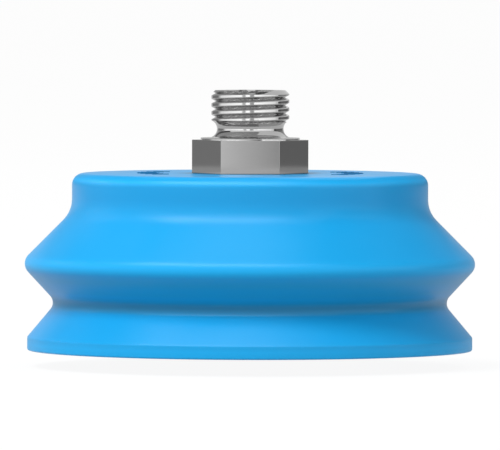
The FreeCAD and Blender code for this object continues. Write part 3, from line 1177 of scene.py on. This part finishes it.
        flat = recipe.field(
            "GeometryNodeCurvePrimitiveQuadrilateral", 0, {"Width": length, "Height": width},
            mode="RECTANGLE",
        )
        corner = {"Radius": width * self.mark_corner, "Count": self.mark_corner_steps}
        rounded = recipe.field("GeometryNodeFilletCurve", 0, {"Curve": flat, **corner}, mode="POLY")
        face = recipe.field("GeometryNodeFillCurve", 0, {"Curve": rounded})
        lifted = recipe.field("GeometryNodeExtrudeMesh", 0, {"Mesh": face, "Offset Scale": rise})
        under = recipe.field("GeometryNodeFlipFaces", 0, {"Mesh": face})
        shell = recipe.node("GeometryNodeJoinGeometry")
        recipe.feed(shell.inputs[0], lifted)
        recipe.feed(shell.inputs[0], under)
        dash = recipe.welded(shell.outputs[0])

        index = recipe.field("GeometryNodeInputIndex")
        arc = (index / per_arc).math("FLOOR")
        place_in_arc = index.math("MODULO", per_arc) / (per_arc - 1.0) - 0.5
        bearing = arc * math.pi + place_in_arc * spread
        line = recipe.field("GeometryNodeMeshLine", 0, {"Count": per_arc * 2.0})
        points = recipe.moved(line, recipe.polar(bearing, radius, foot))
        facing = recipe.place(Z=bearing)
        dashes = recipe.field(
            "GeometryNodeInstanceOnPoints", 0, {"Points": points, "Instance": dash, "Rotation": facing}
        )
        return shaded(recipe.mesh("top_marks", dashes, material))


@dataclass
class Nipple:
    """The turned nipple: pipe thread, relief, washer face, hexagon, shank and bore."""

    top: float = from_frame(top_of, "threaded_nipple")
    foot: float = from_frame(bottom_of, "threaded_nipple")
    flat: float = from_frame(flat_of, "threaded_nipple")
    hex_bottom: float = from_frame(top_of, "cup_head")
    sieve_top: float = from_frame(top_of, "filter_screen")
    sieve_bottom: float = from_frame(bottom_of, "filter_screen")
    ring_radius: float = from_frame(radius_of, "filter_clip")
    ring_bottom: float = from_frame(bottom_of, "filter_clip")
    hex_height: float = 5.65 * MM
    corner_break: float = 0.03 * MM
    edge_break: float = 0.04 * MM
    foot_break: float = 0.06 * MM
    seat_radius: float = 8.35 * MM
    seat_height: float = 0.35 * MM
    seat_break: float = 0.03 * MM
    thread_radius: float = 6.5785 * MM
    thread_pitch: float = 1.337 * MM
    crest_level: float = 39.28 * MM
    crest_cut: float = 0.43
    sharp_height_share: float = 0.960491
    crest_blend: float = 0.18
    neck_blend: float = 0.12
    end_blend: float = 0.08
    end_slack: float = 0.001
    end_radius: float = 5.95 * MM
    relief_radius: float = 5.6 * MM
    neck_round: float = 1.5 * MM
    neck_steps: int = 12
    bore_radius: float = 3.5 * MM
    bore_chamfer: float = 0.5 * MM
    shank_radius: float = 6.0 * MM
    shank_chamfer: float = 0.4 * MM
    pocket_radius: float = 4.6 * MM
    ring_clearance: float = 0.05 * MM
    rows_per_pitch: int = 26

    @property
    def hex_top(self) -> float:
        """Level of the hexagon's upper face."""
        return self.hex_bottom + self.hex_height

    @property
    def seat(self) -> float:
        """Level of the washer face on the hexagon."""
        return self.hex_top + self.seat_height

    def thread(self, material: bpy.types.Material) -> bpy.types.Mesh:
        """The helical thread, from the waist of the neck to the end of the nipple.

        The flanks stand at the 55 degrees of a pipe thread, with crests cut flat and tight
        roots. The thread runs out into the round of the neck at its lower end and is
        chamfered at its upper end.

        Args:
            material: Its material.

        Returns:
            An open tube, with one point for each column at either end.
        """
        recipe = GeometryRecipe("pipe_thread")
        major = recipe.size("Major radius", self.thread_radius)
        pitch = recipe.size("Pitch", self.thread_pitch)
        bottom = recipe.size("Bottom", self.seat + self.neck_round)
        top = recipe.size("Top", self.top)
        crest = recipe.size("Crest level on X", self.crest_level)
        relief = recipe.size("Relief radius", self.relief_radius)
        neck_round = recipe.size("Neck round", self.neck_round)
        crest_cut = recipe.size("Crest cut", self.crest_cut)
        end = recipe.size("End radius", self.end_radius)
        threaded = self.top - self.seat - self.neck_round
        rows = math.ceil(threaded / self.thread_pitch * self.rows_per_pitch)
        columns = recipe.count("Columns", COLUMNS + 1)
        levels = recipe.count("Levels", rows + 1)

        unit_sheet = {"Size X": 1.0, "Size Y": 1.0, "Vertices X": columns, "Vertices Y": levels}
        sheet = recipe.field("GeometryNodeMeshGrid", 0, unit_sheet)
        across, along, _ = recipe.spot()
        turn = across + 0.5
        height = (along + 0.5) * (top - bottom) + bottom
        from_crest = ((height - crest) / pitch - turn + 0.5).math("FRACT") - 0.5
        fall = from_crest.math("ABSOLUTE") * 2.0
        sharp_height = pitch * self.sharp_height_share
        sharp = major + sharp_height * crest_cut - sharp_height * fall
        crested = sharp.math("SMOOTH_MIN", major, pitch * self.crest_blend)
        rise = height - bottom
        hollow = (neck_round * neck_round - rise * rise).math("MAXIMUM", 0.0).math("SQRT")
        neck = relief + neck_round - hollow
        faded = crested.math("SMOOTH_MIN", neck, pitch * self.neck_blend)
        chamfered = faded.math("SMOOTH_MIN", end + (top - height), pitch * self.end_blend)
        ended = rise.math("LESS_THAN", pitch * self.end_slack)
        reach = chamfered + (relief - chamfered) * ended
        wrapped = recipe.moved(sheet, recipe.polar(turn * FULL_TURN, reach, height))
        return recipe.mesh("pipe_thread", recipe.welded(wrapped), material)

    def neck(self) -> list[Ring]:
        """Draws the hollow round between the washer face and the waist of the neck.

        Returns:
            Its rings, from below.
        """
        rings = []
        for step in range(self.neck_steps + 1):
            angle = math.pi / 2 * step / self.neck_steps
            reach = self.relief_radius + self.neck_round * (1 - math.sin(angle))
            rings.append(ring_at(reach, self.seat + self.neck_round * (1 - math.cos(angle))))
        return rings

    def passage(self) -> list[Ring]:
        """Draws the bore, the filter pocket, the foot and the outside of the shank.

        Returns:
            Their rings, from the mouth of the bore down and back up to the hexagon.
        """
        groove = self.ring_radius + self.ring_clearance
        groove_bottom = self.ring_bottom - self.ring_clearance
        steps = [
            (self.bore_radius + self.bore_chamfer, self.top),
            (self.bore_radius, self.top - self.bore_chamfer),
            (self.bore_radius, self.sieve_top),
            (self.pocket_radius, self.sieve_top),
            (self.pocket_radius, self.sieve_bottom),
            (groove, self.sieve_bottom),
            (groove, groove_bottom),
            (self.pocket_radius, groove_bottom),
            (self.pocket_radius, self.foot),
            (self.shank_radius - self.shank_chamfer, self.foot),
            (self.shank_radius, self.foot + self.shank_chamfer),
            (self.shank_radius, self.hex_bottom),
        ]
        return [ring_at(radius, height) for radius, height in steps]

    def hexagon(self) -> list[Ring]:
        """Draws the hexagon with its broken edges and the washer face on it.

        Returns:
            Their rings, from below.
        """
        sides = [
            (self.flat - self.foot_break, self.hex_bottom),
            (self.flat, self.hex_bottom + self.foot_break),
            (self.flat, self.hex_top - self.edge_break),
            (self.flat - self.edge_break, self.hex_top),
        ]
        return [hexagon_ring(flat, height, self.corner_break) for flat, height in sides] + [
            ring_at(self.seat_radius, self.hex_top),
            ring_at(self.seat_radius, self.seat - self.seat_break),
            ring_at(self.seat_radius - self.seat_break, self.seat),
        ]

    def build(self, palette: Palette) -> None:
        """Makes the nipple as one closed skin and fixes it to the head.

        Args:
            palette: The finished materials.
        """
        polished, satin = 0, 1
        thread = self.thread(palette.polished)
        points = [vertex.co.copy() for vertex in thread.vertices]
        ends = [point for point in points if self.top - point.z < WELD_DISTANCE]
        seam = FULL_TURN - SEAM_SLACK
        mouth = sorted(ends, key=lambda point: math.atan2(point.y, point.x) % seam)
        passage, hexagon, neck = self.passage(), self.hexagon(), self.neck()
        rings = [mouth] + passage + hexagon + neck
        bored, machined = 3, len(passage) + 1
        neck_strips = len(rings) - bored - machined
        finish = [polished] * bored + [satin] * machined + [polished] * neck_strips
        skin = lofted("threaded_nipple", rings, closed=False, material_of=finish)
        mesh = shaded(joined("threaded_nipple", [skin, thread]))
        piece = new_piece("turned_nipple", mesh, palette.polished, palette.satin)
        fix_to_head(piece, Slot.NIPPLE, "threaded_nipple")


@dataclass
class ClampingHardware:
    """The plate, lock washer and nut that clamp the roof of the cup from inside."""

    plate_radius: float = from_frame(radius_of, "support_plate")
    plate_top: float = from_frame(top_of, "support_plate")
    plate_bottom: float = from_frame(bottom_of, "support_plate")
    washer_top: float = from_frame(top_of, "lock_washer")
    washer_bottom: float = from_frame(bottom_of, "lock_washer")
    nut_flat: float = from_frame(flat_of, "clamp_nut")
    nut_top: float = from_frame(top_of, "clamp_nut")
    nut_bottom: float = from_frame(bottom_of, "clamp_nut")
    shank_hole: float = 6.1 * MM
    plate_round: float = 0.5 * MM
    plate_burr: float = 0.2 * MM
    washer_radius: float = 9.4 * MM
    washer_break: float = 0.15 * MM
    washer_gap: float = 1.4 * MM
    washer_slant: float = math.radians(60)
    nut_hole: float = 6.05 * MM
    nut_countersink: float = 0.55 * MM
    nut_face: float = 8.35 * MM
    nut_corner_break: float = 0.12 * MM
    nut_chamfer_rise: float = math.tan(math.radians(28))

    def build(self, palette: Palette) -> None:
        """Makes the three pieces and fixes them to the head.

        Args:
            palette: The finished materials.
        """
        plate = new_piece("pressed_plate", self.plate(), palette.zinc)
        washer = new_piece("split_washer", self.washer(), palette.spring)
        nut = new_piece("chamfered_nut", self.nut(), palette.zinc)
        fix_to_head(plate, Slot.PLATE, "support_plate")
        fix_to_head(washer, Slot.SPRING, "lock_washer")
        fix_to_head(nut, Slot.PLATE, "clamp_nut")

    def plate(self) -> bpy.types.Mesh:
        """Makes the support plate, pressed with a rounded lower edge.

        Returns:
            Its finished mesh.
        """
        corners = boxed(
            self.shank_hole, self.plate_radius, self.plate_bottom, self.plate_top,
            self.plate_burr, self.plate_round, self.plate_burr, 0.0,
        )
        outline = Outline(corners, run_step=4 * MM, turn_step=math.radians(15))
        return turned("pressed_plate", outline.points())

    def washer(self) -> bpy.types.Mesh:
        """Makes the lock washer, split on a slant.

        Returns:
            Its finished mesh.
        """
        corners = boxed(
            self.shank_hole, self.washer_radius, self.washer_bottom, self.washer_top, self.washer_break
        )
        section = Outline(corners, run_step=2 * MM, turn_step=COARSE_TURN).points()
        half_gap = self.washer_gap / 2 / self.washer_radius
        slant = math.tan(math.pi / 2 - self.washer_slant) / self.washer_radius
        return swept_ring("split_washer", section, half_gap, FULL_TURN - half_gap, slant)

    def nut(self) -> bpy.types.Mesh:
        """Makes the nut, with both faces turned to a chamfer that runs out on its flats.

        Returns:
            Its finished mesh.
        """
        outline = hexagon_ring(self.nut_flat, 0.0, self.nut_corner_break)

        def flank(level: float, towards: float) -> Ring:
            """The edge where the chamfer meets the flats, which dips at the corners.

            Args:
                level: Level of the nut's face.
                towards: 1 if the chamfer rises from it, -1 if it falls.

            Returns:
                The edge as a ring.
            """
            rise = towards * self.nut_chamfer_rise
            heights = [level + max(0.0, point.length - self.nut_face) * rise for point in outline]
            return [Vector((p.x, p.y, height)) for p, height in zip(outline, heights)]

        mouth = self.nut_hole + self.nut_countersink
        rings = [
            ring_at(mouth, self.nut_bottom),
            ring_at(self.nut_hole, self.nut_bottom + self.nut_countersink),
            ring_at(self.nut_hole, self.nut_top - self.nut_countersink),
            ring_at(mouth, self.nut_top),
            ring_at(self.nut_face, self.nut_top),
            flank(self.nut_top, -1),
            flank(self.nut_bottom, 1),
            ring_at(self.nut_face, self.nut_bottom),
        ]
        return shaded(lofted("chamfered_nut", rings))


@dataclass
class InletFilter:
    """The woven sieve in the foot of the shank and the snap ring that holds it."""

    sieve_radius: float = from_frame(radius_of, "filter_screen")
    sieve_top: float = from_frame(top_of, "filter_screen")
    sieve_bottom: float = from_frame(bottom_of, "filter_screen")
    ring_radius: float = from_frame(radius_of, "filter_clip")
    ring_top: float = from_frame(top_of, "filter_clip")
    ring_bottom: float = from_frame(bottom_of, "filter_clip")
    ring_width: float = 1.1 * MM
    ring_round: float = 0.2 * MM
    ring_sweep: float = math.radians(310)
    frame_width: float = 0.7 * MM
    frame_round: float = 0.12 * MM
    wire_radius: float = 0.11 * MM
    wire_pitch: float = 0.56 * MM
    wire_samples: int = 73
    wire_sides: int = 6

    def build(self, palette: Palette) -> None:
        """Makes the sieve and its ring and fixes them to the head.

        Args:
            palette: The finished materials.
        """
        weave = self.weave(palette.wire)
        woven = shaded(joined("woven_sieve", [self.rim(), weave]))
        sieve = new_piece("woven_sieve", woven, palette.wire)
        ring = new_piece("snap_ring", self.snap_ring(), palette.spring)
        fix_to_head(sieve, Slot.SCREEN, "filter_screen")
        fix_to_head(ring, Slot.SPRING, "filter_clip")

    def rim(self) -> bpy.types.Mesh:
        """Makes the flat frame that grips the edge of the weave.

        Returns:
            Its finished mesh.
        """
        inside = self.sieve_radius - self.frame_width
        corners = boxed(
            inside, self.sieve_radius, self.sieve_bottom, self.sieve_top, self.frame_round
        )
        outline = Outline(corners, run_step=2 * MM, turn_step=COARSE_TURN)
        return turned("sieve_rim", outline.points())

    def snap_ring(self) -> bpy.types.Mesh:
        """Makes the open spring ring, with its gap on the far side from +X.

        Returns:
            Its finished mesh.
        """
        inside = self.ring_radius - self.ring_width
        corners = boxed(inside, self.ring_radius, self.ring_bottom, self.ring_top, self.ring_round)
        section = Outline(corners, run_step=1 * MM, turn_step=COARSE_TURN).points()
        return swept_ring("snap_ring", section, -self.ring_sweep / 2, self.ring_sweep / 2, 0.0)

    def weave(self, material: bpy.types.Material) -> bpy.types.Mesh:
        """Two crossing layers of crimped wires, cut to the round of the frame.

        Args:
            material: Material of the wires.

        Returns:
            The wires as one mesh.
        """
        recipe = GeometryRecipe("woven_sieve")
        reach = recipe.size("Weave radius", self.sieve_radius - self.frame_width / 2)
        pitch = recipe.size("Wire pitch", self.wire_pitch)
        thickness = recipe.size("Wire radius", self.wire_radius)
        level = recipe.size("Level", (self.sieve_top + self.sieve_bottom) / 2)
        samples = recipe.count("Samples", self.wire_samples)
        half_count = math.floor((self.sieve_radius - self.frame_width / 2) / self.wire_pitch - 0.5)
        wires = recipe.count("Wires", 2 * half_count + 2)

        strand = recipe.field(
            "GeometryNodeCurvePrimitiveLine", 0, {"Start": (-1.0, 0.0, 0.0), "End": (1.0, 0.0, 0.0)}
        )
        sampled = recipe.field("GeometryNodeResampleCurve", 0, {"Curve": strand, "Count": samples})
        index = recipe.field("GeometryNodeInputIndex")
        offset = (index - (wires - 1.0) * 0.5) * pitch
        line = recipe.field("GeometryNodeMeshLine", 0, {"Count": wires})
        stations = recipe.moved(line, recipe.place(Y=offset))
        laid = recipe.field(
            "GeometryNodeInstanceOnPoints", 0, {"Points": stations, "Instance": sampled}
        )
        strands = recipe.field("GeometryNodeRealizeInstances", 0, {"Geometry": laid})

        along, aside, _ = recipe.spot()
        half_length = (reach * reach - aside * aside).math("MAXIMUM", 0.0).math("SQRT")
        run = along * half_length
        turns = run / pitch + aside / pitch
        section = recipe.field(
            "GeometryNodeCurvePrimitiveCircle", 0, {"Resolution": self.wire_sides, "Radius": thickness}
        )
        lift = recipe.place(Z=level)
        layers = recipe.node("GeometryNodeJoinGeometry")
        for quarter, sign in ((0.0, 1.0), (math.pi / 2, -1.0)):
            crimp = (turns * math.pi).math("SINE") * thickness * sign
            crimped = recipe.moved(strands, recipe.place(X=run, Y=aside, Z=crimp))
            wire = {"Curve": crimped, "Profile Curve": section, "Fill Caps": True}
            solid = recipe.field("GeometryNodeCurveToMesh", 0, wire)
            pose = {"Rotation": (0.0, 0.0, quarter), "Translation": lift}
            layer = recipe.field("GeometryNodeTransform", 0, {"Geometry": solid, **pose})
            recipe.feed(layers.inputs[0], layer)
        return recipe.mesh("woven_sieve", Field(recipe, layers.outputs[0]), material)


Edge = tuple[float, float]
WALL: tuple[Edge, Edge] = (248, -2), (240, 102)
HALO: tuple[Edge, Edge] = (26, 48), (10, 61)
STRIP: tuple[Edge, Edge] = (42, 35), (53, 47.4)
STREAK: tuple[Edge, Edge] = (43.5, 36.2), (53, 47.4)
HEXAGON_SIDE: tuple[Edge, Edge] = (55, 28.6), (55, 43)


@dataclass(frozen=True)
class Card:
    """A card round the object that only reflections see, as a patch of a cone about the axis.

    Its edges are given as radius and height in millimetres, and their levels run from the first
    bearing to the last. It shines to the left of the way from its first edge to its last, and is
    clear from the other side.
    """

    name: str
    bearings: tuple[float, float]
    first_edge: Edge
    last_edge: Edge
    levels: tuple[float, float]
    last_levels: tuple[float, float] | None = None
    steps: int = 48


@dataclass
class Studio:
    """A plain white studio: dome light, two soft boxes, cards, floor and camera."""

    dome: float = 0.735
    lamp_size: float = 0.7
    lamp_distance: float = 1.8
    floor_reach: float = 30.0
    floor_drop: float = 2.8 * MM
    floor_bounce: float = 0.43
    floor_shadow: float = 0.08
    camera_distance: float = 1.458
    camera_height: float = 64.24 * MM
    aim_height: float = 21.09 * MM
    camera_roll: float = math.radians(0.145)
    lens: float = 623.4
    sensor: float = 36.0
    far_clip: float = 100.0
    lamps: tuple[tuple[str, float, float, float], ...] = (
        ("key_soft_box", 0.52, -40.0, 56.0),
        ("fill_soft_box", 0.18, -122.0, 22.0),
    )
    cards: tuple[Card, ...] = (
        Card("wall_left", (-172, -113), *WALL, (0.95, 0.28), (0.52, 0.28)),
        Card("wall_gap", (-113, -50), *WALL, (0.5, 0.85)),
        Card("roof_left", (-168, -75), (240, 102), (52, 278), (0.2, 0.0)),
        Card("wall_back", (172, 188), (248, -2), (228, 135), (0.6, 0.6)),
        Card("floor_ring", (-180, 180), (40, -2.2), (248, -2.2), (0.6, 0.6)),
        Card("halo_left", (-168, -70), *HALO, (0.4, 0.4)),
        Card("wall_right", (90, 172), *WALL, (0.06, 0.72), (0.06, 0.38)),
        Card("roof_right", (55, 168), (240, 102), (35, 281), (0.0, 0.12)),
        Card("halo_front", (-70, 30), *HALO, (0.4, 0.3)),
        Card("halo_right", (30, 168), (28, 44), (10, 61), (0.8, 0.8)),
        Card("roof_back", (168, 192), (228, 135), (77, 271), (0.2, 0.2)),
        Card("strip_fade", (-104, -89), *STRIP, (0.3, 1.3)),
        Card("strip_left", (-89, -22), *STRIP, (1.3, 1.8)),
        Card("streak_left", (-22, -12.5), *STREAK, (0.72, 0.72)),
        Card("strip_middle", (-12.5, -1), *STRIP, (2.0, 2.0)),
        Card("streak_right", (-1, 10.5), *STREAK, (0.55, 0.55)),
        Card("strip_right", (10.5, 75), *STRIP, (1.9, 1.3)),
        Card("hexagon_card", (-24, 24), (42, 29.2), (42, 37.5), (1.28, 0.0)),
        Card("hexagon_left", (-142, -98), *HEXAGON_SIDE, (0.26, 0.26)),
        Card("hexagon_right", (98, 142), *HEXAGON_SIDE, (0.18, 0.18)),
        Card("thread_collar", (-180, 180), (8.6, 35.6), (30, 35.6), (0.66, 0.66)),
        Card("left_soft_box", (-84, -48), (2160, 2120), (1350, 2617), (4.6, 4.2)),
        Card("front_soft_box", (-48, 28), (2160, 2120), (890, 2900), (3.7, 3.5)),
    )
    collar_levels: tuple[float, ...] = (0.46, 0.42, 0.74, 0.56, 0.36, 0.42, 0.46)
    collar_start: float = -150.0
    collar_foot: Edge = (9.9, 29.86)
    collar_joint: Edge = (12, 29.9)
    collar_end: Edge = (35, 30.4)

    def build(self) -> None:
        """Sets up the world, the light, the cards, the floor and the camera."""
        bpy.context.scene.view_settings.view_transform = "Standard"
        self.make_world()
        for lamp in self.lamps:
            self.make_lamp(*lamp)
        glow = self.make_glow()
        for card in self.cards + tuple(self.collars()):
            self.hang(card, glow)
        self.make_floor()
        self.make_camera()

    @staticmethod
    def seen_directly(graph: Graph) -> Field:
        """Tells rays that see a surface from rays that only gather its light.

        Args:
            graph: The tree that asks.

        Returns:
            1 where a ray comes from the camera, a mirror or a clear body, else 0.
        """
        path = graph.node("ShaderNodeLightPath")
        kinds = "Camera", "Glossy", "Transmission"
        camera, glossy, clear = (Field(graph, path.outputs[f"Is {kind} Ray"]) for kind in kinds)
        return camera.math("MAXIMUM", glossy).math("MAXIMUM", clear)

    def make_world(self) -> None:
        """A dome that lights the object evenly and looks white."""
        world = bpy.data.worlds.new("studio_dome")
        world.use_nodes = True
        bpy.context.scene.world = world
        graph = Graph(world.node_tree)
        background = world.node_tree.nodes["Background"]
        background.inputs["Color"].default_value = WHITE
        strength = self.seen_directly(graph) * (1.0 - self.dome) + self.dome
        graph.feed(background.inputs["Strength"], strength)

    @staticmethod
    def towards(bearing: float, elevation: float) -> Vector:
        """Turns a bearing and an elevation into a direction.

        Args:
            bearing: Degrees about the axis, with 0 in front and 90 to the right.
            elevation: Degrees above the level.

        Returns:
            The direction from the object, of length 1.
        """
        turn, rise = math.radians(bearing), math.radians(elevation)
        level = math.cos(rise)
        return Vector((math.sin(turn) * level, -math.cos(turn) * level, math.sin(rise)))

    def make_lamp(self, name: str, strength: float, bearing: float, elevation: float) -> None:
        """A soft box that is left out of reflections.

        Args:
            name: Its name.
            strength: Light that falls on a face turned to it, with 1 for white.
            bearing: Its bearing from the object.
            elevation: Its elevation above the object.
        """
        data = bpy.data.lights.new(name, "AREA")
        data.shape = "DISK"
        data.size = self.lamp_size
        data.energy = strength * (math.pi * self.lamp_distance) ** 2
        lamp = bpy.data.objects.new(name, data)
        direction = self.towards(bearing, elevation)
        lamp.location = direction * self.lamp_distance
        lamp.rotation_euler = (-direction).to_track_quat("-Z", "Y").to_euler()
        lamp.visible_glossy = False
        bpy.context.scene.collection.objects.link(lamp)

    def collars(self) -> Iterator[Card]:
        """Yields two cards for each face of the hexagon, which lie on the cup in front of it."""
        side_turn = math.degrees(FULL_TURN) / HEX_SIDES
        foot = self.collar_foot, self.collar_joint
        collar = self.collar_joint, self.collar_end
        for side, levels in enumerate(zip(self.collar_levels, self.collar_levels[1:])):
            start = self.collar_start + side_turn * side
            bearings = start, start + side_turn
            foot_levels = levels[0] / 2, levels[1] / 2
            yield Card(f"hexagon_foot_{side}", bearings, *foot, foot_levels, levels, 1)
            yield Card(f"hexagon_collar_{side}", bearings, *collar, levels, levels, 1)

    def make_glow(self) -> bpy.types.Material:
        """Makes the one material of all cards, which shines by the level at each point.

        Returns:
            The finished material.
        """
        graph = OneSided("card_glow")
        level = graph.field("ShaderNodeAttribute", "Fac", attribute_name=LEVEL)
        return graph.finished(graph.field("ShaderNodeEmission", 0, {"Color": WHITE, "Strength": level}))

    def hang(self, card: Card, glow: bpy.types.Material) -> None:
        """Hangs one card.

        Args:
            card: Its place and level.
            glow: The material of all cards.
        """
        points = []
        levels = []
        ends = (card.first_edge, card.levels), (card.last_edge, card.last_levels or card.levels)
        for (radius, height), (start, stop) in ends:
            for step in range(card.steps + 1):
                share = step / card.steps
                bearing = card.bearings[0] + (card.bearings[1] - card.bearings[0]) * share
                points.append(self.towards(bearing, 0) * (radius * MM) + Vector((0, 0, height * MM)))
                levels.append(start + (stop - start) * share)
        width = card.steps + 1
        faces = [(i, width + i, width + i + 1, i + 1) for i in range(card.steps)]
        mesh = bpy.data.meshes.new(card.name)
        mesh.from_pydata(points, [], faces)
        mesh.attributes.new(LEVEL, "FLOAT", "POINT").data.foreach_set("value", levels)
        piece = new_piece(card.name, mesh, glow)
        piece.visible_camera = False
        piece.visible_diffuse = False
        piece.visible_transmission = False
        piece.visible_shadow = False

    def make_floor(self) -> None:
        """A wide white floor that keeps a faint shadow and is clear from below."""
        reach = self.floor_reach
        corners = (-reach, -reach), (reach, -reach), (reach, reach), (-reach, reach)
        mesh = bpy.data.meshes.new("floor")
        mesh.from_pydata([(*corner, -self.floor_drop) for corner in corners], [], [(0, 1, 2, 3)])
        graph = OneSided("floor_white")
        bounce = graph.field("ShaderNodeBsdfDiffuse", 0, {"Color": grey(self.floor_bounce)})
        matt = graph.field("ShaderNodeBsdfDiffuse", 0, {"Color": WHITE})
        glow = graph.field("ShaderNodeEmission", 0, {"Color": WHITE, "Strength": 1.0})
        shown = graph.mixed(self.floor_shadow, glow, matt)
        seen = graph.mixed(self.seen_directly(graph), bounce, shown)
        floor = new_piece("floor", mesh, graph.finished(seen))

    def make_camera(self) -> None:
        """A long lens a little above the level of the thread's foot, in front of the object."""
        data = bpy.data.cameras.new("camera")
        data.lens = self.lens
        data.sensor_width = self.sensor
        data.clip_end = self.far_clip
        camera = bpy.data.objects.new("camera", data)
        camera.location = (0, -self.camera_distance, self.camera_height)
        aim = Vector((0, 0, self.aim_height)) - camera.location
        roll = Quaternion(AXIS_UP, self.camera_roll)
        camera.rotation_euler = (aim.to_track_quat("-Z", "Y") @ roll).to_euler()
        bpy.context.scene.collection.objects.link(camera)
        bpy.context.scene.camera = camera


def main() -> None:
    """Builds the object and its studio, and reports each piece."""
    logging.basicConfig(level=logging.INFO, format="%(name)s: %(message)s")
    Studio().build()
    palette = Palette()
    for assembly in (SoftCup(), Nipple(), ClampingHardware(), InletFilter()):
        LOG.info("building %s", type(assembly).__name__)
        assembly.build(palette)


if __name__ == "__main__":
    main()
